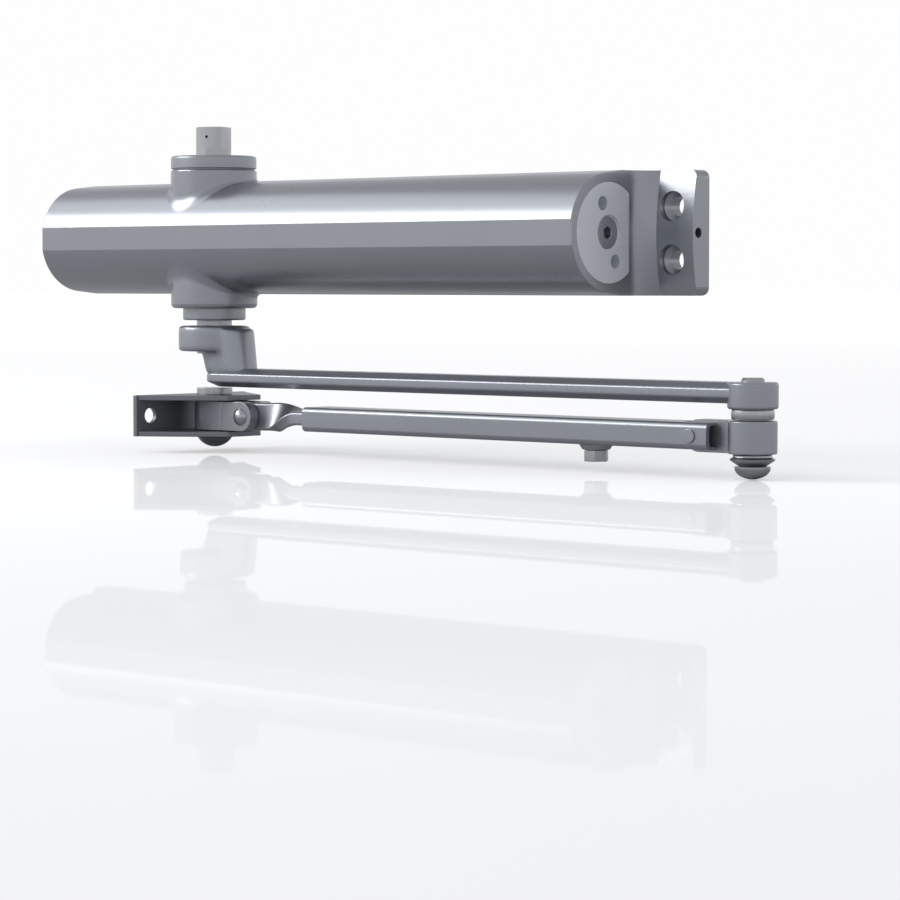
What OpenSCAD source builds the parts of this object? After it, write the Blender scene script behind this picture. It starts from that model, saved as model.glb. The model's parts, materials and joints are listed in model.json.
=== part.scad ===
/* [Mounting holes] */
// Distance between the left and right mounting holes
hole_spacing_x = 304.8; // [300:0.1:310]
// Distance between the upper and lower mounting holes
hole_spacing_z = 19.05; // [17:0.05:21]
// Radius of a mounting hole
mount_hole_r = 3.5; // [3:0.1:4]
// Radius of the recess for a mounting screw's head
mount_head_r = 5.4; // [5:0.1:6]

/* [Casting] */
// Half of the casting's height
casting_half_h = 22.4; // [22:0.1:23]
// Radius of the casting's round front
casting_round_r = 21.4; // [21:0.1:21.8]
// Distance from the cylinder axis to the flat strip along the front
front_flat = 20.9; // [20.5:0.1:21]
// Distance from the mounting face to the cylinder axis
axis_depth = 28; // [27.8:0.1:30]
// Thickness of the mounting lugs at their middle
lug_t = 9.6; // [9:0.1:9.6]
// Radius of the cylinder bore
bore_r = 17; // [16.9:0.01:17.1]

/* [Spindle and gear] */
// Distance of the spindle to the left of the middle of the mounting holes
spindle_offset = 63.6; // [60:0.1:66]
// Radius of the spindle's journals
spindle_r = 7; // [6.9:0.05:7.1]
// Width across the flats of the spindle's square ends
square_af = 11.6; // [11.2:0.1:12]
// Turn of the square ends against the body
square_turn = 17.5; // [0:0.5:45]
// Gear module
gear_module = 1.5; // [1.48:0.01:1.52]

/* [Arms] */
// Length of the main arm from spindle to elbow
arm_len = 266; // [260:1:280]
// Half of the main arm's width at the spindle
arm_half_w = 8; // [7:0.1:8.2]
// Length of the forearm tube
tube_len = 195.1; // [190:0.1:200]
// Depth of the forearm tube, front to back
tube_w = 16; // [15.5:0.1:16.5]
// Height of the forearm tube
tube_h = 9.4; // [9:0.1:9.6]

/* [Shoe] */
// Length of the shoe's mounting plate
shoe_len = 60; // [56:1:66]
// Distance between the shoe's screw holes
shoe_hole_spacing = 45; // [40:1:46]
// Radius of the shoe's screw holes
shoe_hole_r = 3; // [2.5:0.1:3.2]
// Thickness of the shoe's plate
shoe_t = 2; // [1.8:0.1:2.2]

/* [Hidden] */
$fn = 72;

// Casting, measured from the middle of the mounting holes
hole_x = hole_spacing_x / 2;
right_face = hole_x - 13.3;
right_lug_end = hole_x + 9.8;
left_face = 8.3 - hole_x;
left_lug_end = -hole_x - 8.7;
lug_edge_t = 7;
lug_corner_r = 3;
fillet_r = 10;
shoulder_y = 8;
shoulder_tilt = 6;
plug_r = 18.1;
plug_t = 12;
plug_gap = 0.05;
cover_hole_r = 1.85;
cover_hole_depth = 8;
cover_hole_y = -6.4;
top_boss_r = 17.1;
top_boss_z = 26.7;
bottom_boss_r = 17.2;
bottom_boss_z = -28;
bearing_r = 10;
bearing_z = 17.2;
bearing_top = 22;
cap_neck_r = 13.4;
ring_neck_r = 12;

// End plugs, adjusting screw and valves
spanner_hole_r = 2.5;
spanner_pcr = 10.9;
spanner_turn = 19;
spanner_depth = 5;
seal_r = 0.9;
seal_pcr = 17.15;
screw_head_r = 5.7;
screw_head_t = 8.2;
screw_recess = 0.8;
screw_shank_r = 4;
socket_af = 4;
valve_r = 2.5;
valve_pcr = 9;
valve_len = 11;
run_gap = 0.05;

// Piston, measured from the spindle axis at rest
piston_left = -50;
piston_right = 32;
piston_r = bore_r - 0.1;
window_left = -36;
window_right = 13.5;
window_front = -12;
seat_x = right_face - 26;
seat_t = 6;
wire_r = 2.2;
coil_r = 12.8;
coil_turns = 14;

// Gear: ten teeth with a 25 degree flank, so the rack's tips cut no root away
teeth = 10;
flank = 25;
pitch_r = gear_module * teeth / 2;
base_r = pitch_r * cos(flank);
tip_r = pitch_r + 0.9 * gear_module;
root_r = pitch_r - 0.967 * gear_module;
tooth_half = gear_module * PI / 4 - 0.06;
gear_half_h = 11;
rack_tip = 0.8 * gear_module;
rack_root = 0.967 * gear_module;

// Heights of the spindle and the arms, measured from the cylinder axis
spindle_top = 43.9;
square_from = 35.1;
spindle_bottom = -46;
hub_r = 14.3;
hub_top = -34.9;
hub_bottom = -45.1;
bar_z = -55.4;
bar_half_h = 3.7;
eye_r = 8.8;
eye_top = -51.6;
eye_bottom = -60.8;
pin_r = 4;
forearm_z = -70.5;
knuckle_r = 8.5;
knuckle_half_h = 5.7;
tongue_t = 5.2;
tilt_x = arm_len - 21.3;
tube_right = arm_len - 13.9;
tube_left = tube_right - tube_len;
tube_corner_r = 2;
clamp_x = arm_len - 69;
rod_w = 10.8;
rod_t = 5.1;
rod_right = tube_right - 20;
block_pin_x = 22.2;
twist_left = 30;
twist_right = 50;
block_half_h = 5.8;
block_half_w = 8;
cheek_gap = 5.7;
shoe_half_h = 8.15;
shoe_web_x = -15.3;
shoe_tip_x = 17;
shoe_tip_half = 9;
shoe_pin_r = 3.55;

module at_spindle() translate([-spindle_offset, -axis_depth, 0]) children();
module along_x(from, to) translate([from, 0, 0]) rotate([90, 0, 90]) linear_extrude(to - from) children();
module along_y(from, to) translate([0, to, 0]) rotate([90, 0, 0]) linear_extrude(to - from) children();
module rod_x(from, to, r) translate([from, 0, 0]) rotate([0, 90, 0]) cylinder(h = to - from, r = r);
module rod_y(from, to, r) translate([0, to, 0]) rotate([90, 0, 0]) cylinder(h = to - from, r = r);
module rod_z(from, to, r) translate([0, 0, from]) cylinder(h = to - from, r = r);
module ring_z(from, to, inner, outer) difference() {
  rod_z(from, to, outer);
  rod_z(from - 1, to + 1, inner);
}
module hex_x(from, to, af) translate([from, 0, 0]) rotate([0, 90, 0])
  cylinder(h = to - from, r = af / sqrt(3), $fn = 6);
module torus(major, minor) rotate_extrude() translate([major, 0]) circle(r = minor, $fn = 24);
module rounded_rect(w, h, r) {
  square([w - 2 * r, h], center = true);
  square([w, h - 2 * r], center = true);
  for (x = [-1, 1], y = [-1, 1]) translate([x * (w / 2 - r), y * (h / 2 - r)]) circle(r = r);
}
module dome(z, rim_r, height) {
  sphere_r = (rim_r * rim_r + height * height) / (2 * height);
  intersection() {
    translate([0, 0, z - height + sphere_r]) sphere(r = sphere_r);
    rod_z(z - height - 1, z, rim_r + 1);
  }
}

// Casting
module casting_section() translate([-axis_depth, 0]) {
  start_r = casting_round_r - 0.3;
  start = [-start_r * sin(shoulder_tilt), start_r * cos(shoulder_tilt)];
  intersection() {
    circle(r = casting_round_r, $fn = 180);
    translate([-front_flat, -casting_half_h]) square([2 * casting_round_r, 2 * casting_half_h]);
  }
  polygon([start, [shoulder_y, casting_half_h], [axis_depth, casting_half_h],
           [axis_depth, -casting_half_h], [shoulder_y, -casting_half_h], [start[0], -start[1]]]);
}
module lug_section() {
  drop = lug_t - lug_edge_t;
  curve_r = (casting_half_h * casting_half_h + drop * drop) / (2 * drop);
  intersection() {
    translate([-lug_t - 1, -casting_half_h - 1]) square([lug_t + 1, 2 * casting_half_h + 2]);
    translate([curve_r - lug_t, 0]) circle(r = curve_r, $fn = 360);
  }
}
module lug(from, to, side) intersection() {
  along_x(from, to) lug_section();
  translate([side > 0 ? to - 40 : from + 40, 0, 0])
    along_y(-20, 1) rounded_rect(80, 2 * casting_half_h, lug_corner_r);
}
module lug_fillet() translate([right_face, -lug_edge_t, -casting_half_h])
  linear_extrude(2 * casting_half_h) polygon(concat(
    [for (a = [180:-10:90]) [fillet_r + fillet_r * cos(a), fillet_r * sin(a) - fillet_r]],
    [[fillet_r, 3], [-1, 3], [-1, -fillet_r]]));
module mounting_holes() for (x = [-hole_x, hole_x], z = [-1, 1])
  translate([x, 0, z * hole_spacing_z / 2]) {
    rod_y(-20, 1, mount_hole_r);
    rod_y(-20, -6.5, mount_head_r);
    translate([0, -5, 0]) rotate([90, 0, 0]) cylinder(h = 1.6, r1 = mount_hole_r, r2 = mount_head_r + 0.1);
  }
module casting() color("lightslategray") difference() {
  union() {
    along_x(left_face, right_face) casting_section();
    lug(right_face - 5, right_lug_end, 1);
    lug(left_lug_end, left_face + 5, -1);
    lug_fillet();
    at_spindle() rod_z(bottom_boss_z, 0, bottom_boss_r);
    at_spindle() rod_z(0, top_boss_z, top_boss_r);
  }
  mounting_holes();
  translate([0, -axis_depth, 0]) {
    rod_x(left_face + plug_t - 1, right_face - plug_t + 1, bore_r);
    rod_x(left_face - 1, left_face + plug_t, plug_r + plug_gap);
    rod_x(right_face - plug_t, right_lug_end, plug_r + plug_gap);
  }
  at_spindle() {
    rod_z(bottom_boss_z - 1, top_boss_z + 1, bearing_r + plug_gap);
    rod_z(bearing_top, top_boss_z + 1, cap_neck_r + plug_gap);
    rod_z(bottom_boss_z - 1, -bearing_top, ring_neck_r + plug_gap);
  }
  translate([0, cover_hole_y, 0]) {
    rod_x(right_lug_end - cover_hole_depth, right_lug_end + 1, cover_hole_r);
    rod_x(left_lug_end - 1, left_lug_end + cover_hole_depth, cover_hole_r);
  }
}

// End plugs, facing right about the cylinder axis; the left one is mirrored
module plug_blank() difference() {
  rod_x(-plug_t, 0, plug_r);
  for (s = [-1, 1]) rotate([s > 0 ? spanner_turn : spanner_turn + 180, 0, 0])
    translate([0, 0, spanner_pcr]) rod_x(-spanner_depth, 1, spanner_hole_r);
  difference() {
    rod_x(-9.2, -7, plug_r + 1);
    rod_x(-10, -6, seal_pcr - seal_r - 0.1);
  }
}
module on_right_plug() translate([right_face, -axis_depth, 0]) children();
module on_left_plug() translate([left_face, -axis_depth, 0]) mirror([1, 0, 0]) children();
module right_plug() color("silver") on_right_plug() difference() {
  plug_blank();
  rod_x(-screw_recess, 1, screw_head_r + 0.6);
  rod_x(-screw_head_t - screw_recess, 1, screw_head_r + run_gap);
  rod_x(-plug_t - 1, 1, screw_shank_r + run_gap);
}
module valve_places() for (s = [-1, 1]) translate([0, s * valve_pcr, 0]) children();
module left_plug() color("silver") on_left_plug() difference() {
  plug_blank();
  valve_places() rod_x(-plug_t - 1, 1, valve_r + run_gap);
}
module plug_seal() translate([-8.1, 0, 0]) rotate([0, 90, 0]) torus(seal_pcr, seal_r);
module plug_seals() color("black") {
  on_right_plug() plug_seal();
  on_left_plug() plug_seal();
}
module power_screw() color("gray") on_right_plug() difference() {
  union() {
    rod_x(-screw_head_t - screw_recess, -screw_recess, screw_head_r);
    rod_x(-52, -screw_recess - 1, screw_shank_r);
  }
  hex_x(-screw_recess - 4, 0, socket_af);
}
module screw_clip() color("dimgray") on_right_plug() difference() {
  rod_x(-plug_t - 1.4, -plug_t - 0.4, 6.5);
  rod_x(-plug_t - 2, -plug_t, screw_shank_r);
}
module spring_seat() color("goldenrod") translate([seat_x, -axis_depth, 0]) difference() {
  union() {
    rod_x(0, seat_t, bore_r - 0.4);
    rod_x(-8, 1, 8);
  }
  rod_x(-9, seat_t + 1, screw_shank_r + run_gap);
}
module valve_needle() difference() {
  union() {
    rod_x(-valve_len + 3, -0.8, valve_r);
    translate([-valve_len, 0, 0]) rotate([0, 90, 0]) cylinder(h = 3, r1 = 0.8, r2 = valve_r);
  }
  hex_x(-3, 0, 2.5);
}
module sweep_valve() color("gray") on_left_plug() translate([0, -valve_pcr, 0]) valve_needle();
module latch_valve() color("gray") on_left_plug() translate([0, valve_pcr, 0]) valve_needle();

// Main spring: one swept round wire
function coil_point(t) =
  let (a = 360 * coil_turns * t, span = seat_x + spindle_offset - piston_right - 2 * wire_r - 0.2)
  [piston_right + wire_r + 0.1 + span * t, coil_r * cos(a), coil_r * sin(a)];
module main_spring() color("darkslategray") at_spindle() {
  sides = 8;
  rings = coil_turns * 20;
  points = [for (i = [0:rings], k = [0:sides - 1])
    let (c = coil_point(i / rings), a = 360 * coil_turns * i / rings, b = 360 * k / sides)
    c + wire_r * (cos(b) * [0, cos(a), sin(a)] + sin(b) * [1, 0, 0])];
  skin = [for (i = [0:rings - 1], k = [0:sides - 1])
    [i * sides + k, i * sides + (k + 1) % sides, (i + 1) * sides + (k + 1) % sides, (i + 1) * sides + k]];
  ends = [[for (k = [sides - 1:-1:0]) k], [for (k = [0:sides - 1]) rings * sides + k]];
  polyhedron(points, concat(skin, ends));
}

// Piston with the rack on the door side of the spindle
module rack_tooth() polygon([
  [-tooth_half - rack_root * tan(flank), rack_root + 0.5],
  [-tooth_half - rack_root * tan(flank), rack_root],
  [-tooth_half + rack_tip * tan(flank), -rack_tip],
  [tooth_half - rack_tip * tan(flank), -rack_tip],
  [tooth_half + rack_root * tan(flank), rack_root],
  [tooth_half + rack_root * tan(flank), rack_root + 0.5]]);
module piston() color("darkgray") at_spindle() {
  difference() {
    rod_x(piston_left, piston_right, piston_r);
    translate([window_left, window_front, -bore_r])
      cube([window_right - window_left, pitch_r + rack_root - window_front, 2 * bore_r]);
    rod_x(piston_left - 1, window_left + 1, 2.6);
    rod_x(piston_left - 1, piston_left + 5, 4);
    for (x = [piston_left + 9, piston_right - 6]) difference() {
      rod_x(x - 1.6, x + 1.6, bore_r + 1);
      rod_x(x - 2, x + 2, 15.6);
    }
  }
  for (k = [-7:2]) translate([k * gear_module * PI, pitch_r, -10]) linear_extrude(20) rack_tooth();
}
module piston_rings() color("black") at_spindle() for (x = [piston_left + 9, piston_right - 6])
  difference() {
    rod_x(x - 1.5, x + 1.5, bore_r - 0.04);
    rod_x(x - 2, x + 2, 15.65);
  }
module check_ball() color("silver") at_spindle() translate([piston_left + 3, 0, 0]) sphere(r = 1.9);
module ball_retainer() color("gray") at_spindle() difference() {
  rod_x(piston_left, piston_left + 1, 3.95);
  rod_x(piston_left - 1, piston_left + 2, 1.2);
}

// Spindle with its gear, and what holds it
function involute_turn(r) = let (a = acos(base_r / r)) tan(a) * 180 / PI - a;
function tooth_turn(r) =
  tooth_half / pitch_r * 180 / PI + involute_turn(pitch_r) - involute_turn(r);
function polar(r, a) = [r * cos(a), r * sin(a)];
module gear_outline() {
  steps = 6;
  radii = [for (i = [0:steps]) base_r + 0.001 + (tip_r - base_r - 0.001) * i / steps];
  polygon([for (k = [0:teeth - 1]) let (mid = 90 + 180 / teeth + 360 * k / teeth) each concat(
    [polar(root_r, mid - tooth_turn(radii[0]))],
    [for (i = [0:steps]) polar(radii[i], mid - tooth_turn(radii[i]))],
    [for (i = [steps:-1:0]) polar(radii[i], mid + tooth_turn(radii[i]))],
    [polar(root_r, mid + tooth_turn(radii[0]))])]);
}
module square_bar(from, to, af) rotate([0, 0, square_turn])
  translate([-af / 2, -af / 2, from]) cube([af, af, to - from]);
module off_square(from, to) difference() {
  rod_z(from, to, spindle_r + 5);
  square_bar(from - 1, to + 1, square_af);
}
module pinion_spindle() color("silver") at_spindle() {
  difference() {
    rod_z(gear_half_h - 0.5, spindle_top, spindle_r);
    off_square(square_from, spindle_top + 1);
    rotate([0, 0, square_turn]) translate([0, 0, 40]) rod_y(-8, -3, 0.6);
  }
  difference() {
    rod_z(spindle_bottom, 0.5 - gear_half_h, spindle_r);
    off_square(spindle_bottom - 1, hub_top + 0.2);
  }
  translate([0, 0, -gear_half_h]) linear_extrude(2 * gear_half_h) gear_outline();
}
module top_bearing() color("goldenrod") at_spindle()
  ring_z(bearing_z, bearing_top, spindle_r + run_gap, bearing_r);
module bottom_bearing() color("goldenrod") at_spindle()
  ring_z(-bearing_top, -bearing_z, spindle_r + run_gap, bearing_r);
module seal_groove(z) ring_z(z - 1.5, z + 1.5, 1, 9.6);
module top_cap() color("silver") at_spindle() difference() {
  union() {
    rod_z(27.4, 32.4, 17);
    rod_z(26.7, 27.5, 16.3);
    rod_z(bearing_top, 27, cap_neck_r);
  }
  rod_z(bearing_top - 1, 33, spindle_r + run_gap);
  seal_groove(26);
}
module bottom_cap() color("silver") at_spindle() difference() {
  union() {
    rod_z(-32.7, bottom_boss_z, 12.5);
    rod_z(bottom_boss_z - 1, -bearing_top, ring_neck_r);
  }
  rod_z(-33, -21, spindle_r + run_gap);
  seal_groove(-27);
}
module spindle_seals() color("black") at_spindle() for (z = [26, -27])
  translate([0, 0, z]) torus(8.35, 1.2);

// Main arm
module bar_section(half_w) polygon([
  for (p = [[-1, -1.6], [-0.4, -3.7], [0.4, -3.7], [1, -1.6], [1, 1.6], [0.4, 3.7], [-0.4, 3.7], [-1, 1.6]])
  [p[0] * half_w, p[1] * bar_half_h / 3.7]]);
module main_arm() color("slategray") at_spindle() difference() {
  union() {
    rod_z(hub_bottom, hub_top, hub_r);
    hull() for (p = [[2, -37, 8.5], [10.4, -37, 8.5], [6.4, -53, 8], [13.9, -53, 8]])
      translate([p[0], 0, p[1]]) cylinder(h = 1, r = p[2], $fn = 32);
    hull() {
      translate([0, 0, bar_z]) along_x(6, 7) bar_section(arm_half_w);
      translate([0, 0, bar_z]) along_x(arm_len - 3, arm_len - 2) bar_section(arm_half_w - 0.5);
    }
    translate([7, 0, bar_z - 1.6]) cylinder(h = 3.2, r = arm_half_w - 0.1);
    translate([arm_len, 0, 0]) rod_z(eye_bottom, eye_top, eye_r);
  }
  intersection() {
    rod_z(spindle_bottom - 0.4, hub_top + 1, spindle_r + run_gap);
    square_bar(spindle_bottom - 1, hub_top + 2, square_af + 0.1);
  }
  translate([0, 0, (hub_top + hub_bottom) / 2]) rod_x(-hub_r - 1, 0, 2.5);
  translate([arm_len, 0, 0]) rod_z(eye_bottom - 1, eye_top + 1, pin_r);
}
module arm_set_screw() color("dimgray") at_spindle()
  translate([0, 0, (hub_top + hub_bottom) / 2]) difference() {
    rod_x(-hub_r + 0.8, -7.1, 2.45);
    hex_x(-hub_r, -hub_r + 3.4, 2.5);
  }

// Elbow
module at_elbow() at_spindle() translate([arm_len, 0, 0]) children();
module elbow_pin() color("silver") at_elbow() {
  rod_z(-81, -50.1, pin_r);
  dome(-80.5, 6.2, 4.4);
}
module elbow_spacer() color("silver") at_elbow() translate([0, 0, -62.6]) difference() {
  intersection() {
    sphere(r = 7.5);
    rod_z(-1.8, 1.8, 8);
  }
  rod_z(-2, 2, pin_r);
}
module elbow_dish() color("silver") at_elbow() rotate_extrude() polygon([
  [pin_r, -76.5], [6.75, -76.5], [6.75, -77.3], [7.95, -78], [7.6, -78.5], [4.6, -80.5], [pin_r, -80.5]]);
module tongue_pin_place() at_spindle() translate([tilt_x, 0, forearm_z]) children();
module elbow_knuckle() color("slategray") difference() {
  union() {
    at_elbow() rod_z(forearm_z - knuckle_half_h, forearm_z + knuckle_half_h, knuckle_r);
    tongue_pin_place() rod_y(-tongue_t / 2, tongue_t / 2, knuckle_half_h);
    tongue_pin_place() translate([0, -tongue_t / 2, -knuckle_half_h])
      cube([arm_len - tilt_x, tongue_t, 2 * knuckle_half_h]);
  }
  at_elbow() rod_z(-80, -60, pin_r + 1.2);
  tongue_pin_place() rod_y(-5, 5, 2.5 + run_gap);
}
module elbow_bush() color("goldenrod") at_elbow()
  ring_z(forearm_z - knuckle_half_h, forearm_z + knuckle_half_h, pin_r + run_gap, pin_r + 1.2);

// Forearm
module forearm_tube() color("lightslategray") difference() {
  at_spindle() translate([0, 0, forearm_z]) along_x(tube_left, tube_right)
    difference() {
      rounded_rect(tube_w, tube_h, tube_corner_r);
      square([rod_w + 1.6, rod_t + 0.7], center = true);
    }
  at_spindle() translate([tilt_x - 7.3, -2.9, forearm_z - 10]) cube([40, 5.8, 20]);
  tongue_pin_place() rod_y(-10, 10, 2.5);
  at_spindle() translate([clamp_x, 0, 0]) rod_z(forearm_z - 8, forearm_z, 2.5);
}
module tilt_rivet() color("silver") tongue_pin_place() rod_y(-tube_w / 2 - 0.6, tube_w / 2 + 0.6, 2.5);
module at_clamp() at_spindle() translate([clamp_x, 0, forearm_z - tube_h / 2]) children();
module clamp_screw() color("silver") at_clamp() {
  translate([0, 0, -6.2]) cylinder(h = 4.1, r = 8 / sqrt(3), $fn = 6);
  rod_z(-2.2, 1.7, 2.45);
}
module clamp_washer() color("silver") at_clamp() difference() {
  translate([0, 0, -2]) cylinder(h = 2, r1 = 4.9, r2 = 6.3);
  rod_z(-3, 1, 2.5);
}
module block_pin_place() at_spindle() translate([block_pin_x, 0, forearm_z]) children();
module adjusting_rod() color("slategray") difference() {
  union() {
    at_spindle() translate([twist_right - 0.5, -rod_w / 2, forearm_z - rod_t / 2])
      cube([rod_right - twist_right + 0.5, rod_w, rod_t]);
    at_spindle() translate([twist_left, 0, forearm_z]) rotate([0, 90, 0])
      linear_extrude(twist_right - twist_left, twist = 90, slices = 16)
      square([rod_w, rod_t], center = true);
    at_spindle() translate([block_pin_x, -rod_t / 2, forearm_z - rod_w / 2])
      cube([twist_left - block_pin_x + 0.2, rod_t, rod_w]);
    block_pin_place() rod_y(-rod_t / 2, rod_t / 2, rod_w / 2);
  }
  block_pin_place() rod_y(-5, 5, 2.5 + run_gap);
}

// Shoe
module swivel_block() color("slategray") difference() {
  at_spindle() translate([0, 0, forearm_z]) {
    rod_z(-block_half_h, block_half_h, block_half_w);
    translate([0, -block_half_w, -block_half_h]) cube([11.7, 2 * block_half_w, 2 * block_half_h]);
    translate([11, -block_half_w + 0.5, -block_half_h])
      cube([block_pin_x - 11, 2 * block_half_w - 1, 2 * block_half_h]);
    translate([block_pin_x, 0, 0]) rod_y(-block_half_w + 0.5, block_half_w - 0.5, block_half_h);
  }
  at_spindle() rod_z(-90, -50, shoe_pin_r + run_gap);
  at_spindle() translate([14.5, -cheek_gap / 2, forearm_z - 10]) cube([20, cheek_gap, 20]);
  block_pin_place() rod_y(-10, 10, 2.5);
}
module rivet_head_y() rotate([90, 0, 0]) intersection() {
  translate([0, 0, -2.24]) sphere(r = 4.24);
  cylinder(h = 3, r = 5);
}
module block_rivet() color("silver") block_pin_place() {
  rod_y(-block_half_w + 0.5, block_half_w - 0.5, 2.5);
  translate([0, -block_half_w + 0.5, 0]) rivet_head_y();
  translate([0, block_half_w - 0.5, 0]) mirror([0, 1, 0]) rivet_head_y();
}
module shoe_outline() polygon([
  [shoe_web_x, -shoe_len / 2], [shoe_tip_x, -shoe_tip_half],
  [shoe_tip_x, shoe_tip_half], [shoe_web_x, shoe_len / 2]]);
module shoe_bracket() color("gray") at_spindle() translate([0, 0, forearm_z]) difference() {
  union() {
    for (z = [-shoe_half_h, shoe_half_h - shoe_t])
      translate([0, 0, z]) linear_extrude(shoe_t) shoe_outline();
    translate([shoe_web_x, -shoe_len / 2, -shoe_half_h]) cube([shoe_t, shoe_len, 2 * shoe_half_h]);
  }
  rod_z(-20, 20, shoe_pin_r);
  for (s = [-1, 1]) translate([0, s * shoe_hole_spacing / 2, 0])
    rod_x(shoe_web_x - 1, shoe_web_x + shoe_t + 1, shoe_hole_r);
}
module shoe_rivet() color("silver") at_spindle() translate([0, 0, forearm_z]) {
  rod_z(-shoe_half_h - 1, shoe_half_h + 1, shoe_pin_r);
  rod_z(shoe_half_h, shoe_half_h + 2.7, 7.1);
  rod_z(-shoe_half_h - 0.8, -shoe_half_h, 5.5);
  dome(-shoe_half_h - 0.8, 6.9, 3.8);
}

casting();
right_plug();
left_plug();
plug_seals();
power_screw();
screw_clip();
spring_seat();
main_spring();
sweep_valve();
latch_valve();
piston();
piston_rings();
check_ball();
ball_retainer();
pinion_spindle();
top_bearing();
bottom_bearing();
top_cap();
bottom_cap();
spindle_seals();
main_arm();
arm_set_screw();
elbow_pin();
elbow_spacer();
elbow_dish();
elbow_knuckle();
elbow_bush();
forearm_tube();
tilt_rivet();
clamp_screw();
clamp_washer();
adjusting_rod();
swivel_block();
block_rivet();
shoe_bracket();
shoe_rivet();
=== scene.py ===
"""A surface door closer with its folding arm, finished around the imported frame.

Lengths inside the classes are millimetres from the spindle axis; Piece turns them into
metres in the shared frame.
"""

import json
import logging
import math
from dataclasses import dataclass
from enum import Enum
from typing import Callable, Iterable, Optional, Sequence

import bmesh
import bpy
from mathutils import Matrix, Vector

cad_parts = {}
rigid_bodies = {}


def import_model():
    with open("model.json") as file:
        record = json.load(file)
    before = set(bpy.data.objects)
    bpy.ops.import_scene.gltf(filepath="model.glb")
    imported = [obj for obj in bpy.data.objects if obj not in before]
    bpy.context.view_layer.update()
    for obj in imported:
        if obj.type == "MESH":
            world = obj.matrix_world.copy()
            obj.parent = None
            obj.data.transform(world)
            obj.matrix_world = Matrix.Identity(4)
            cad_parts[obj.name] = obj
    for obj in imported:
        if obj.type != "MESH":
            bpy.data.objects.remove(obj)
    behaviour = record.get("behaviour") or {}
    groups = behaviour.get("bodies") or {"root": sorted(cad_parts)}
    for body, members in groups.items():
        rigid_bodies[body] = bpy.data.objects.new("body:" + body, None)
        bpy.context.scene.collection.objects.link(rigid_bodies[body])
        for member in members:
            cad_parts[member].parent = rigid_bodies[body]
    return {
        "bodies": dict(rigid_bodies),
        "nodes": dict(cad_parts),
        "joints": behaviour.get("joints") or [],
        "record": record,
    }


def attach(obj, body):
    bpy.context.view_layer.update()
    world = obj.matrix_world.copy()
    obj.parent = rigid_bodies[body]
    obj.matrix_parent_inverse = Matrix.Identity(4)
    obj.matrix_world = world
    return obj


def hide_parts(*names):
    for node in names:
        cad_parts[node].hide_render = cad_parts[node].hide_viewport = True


LOG = logging.getLogger("door_closer")
MM = 0.001
SPINDLE = Vector((-0.0636, -0.028, 0.0))
RUB = "edge_rub"
CLEAR = 0.01  # millimetres that keep two joined faces out of one plane
Point = tuple[float, float]
Place = tuple[float, float, float]
Colour = tuple[float, float, float, float]
FRAME: dict = {}


class Axis(Enum):
    """The direction that a shape's own Z is laid along."""

    X = Matrix(((0, 0, 1), (1, 0, 0), (0, 1, 0)))
    Y = Matrix(((0, 1, 0), (0, 0, 1), (1, 0, 0)))
    Z = Matrix.Identity(3)


class Join(Enum):
    """How one solid is combined with another."""

    CUT = "DIFFERENCE"
    ADD = "UNION"


def arc(centre: Point, radius: float, start: float, end: float, steps: int) -> list[Point]:
    """Points along an arc.

    Args:
        centre: Middle of the arc.
        radius: Its radius.
        start: First angle, in degrees.
        end: Last angle, in degrees.
        steps: Number of chords.

    Returns:
        The arc's points, both ends included.
    """
    angles = (math.radians(start + (end - start) * n / steps) for n in range(steps + 1))
    return [(centre[0] + radius * math.cos(a), centre[1] + radius * math.sin(a)) for a in angles]


def rounded_box(width: float, height: float, radius: float, steps: int = 6) -> list[Point]:
    """Outline of a rectangle with round corners, about its middle.

    Args:
        width: Size along the first axis.
        height: Size along the second axis.
        radius: Corner radius.
        steps: Chords in each corner.

    Returns:
        The outline, anticlockwise.
    """
    a, b = width / 2 - radius, height / 2 - radius
    corners = ((a, b, 0), (-a, b, 90), (-a, -b, 180), (a, -b, 270))
    return [p for x, y, turn in corners for p in arc((x, y), radius, turn, turn + 90, steps)]


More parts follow.
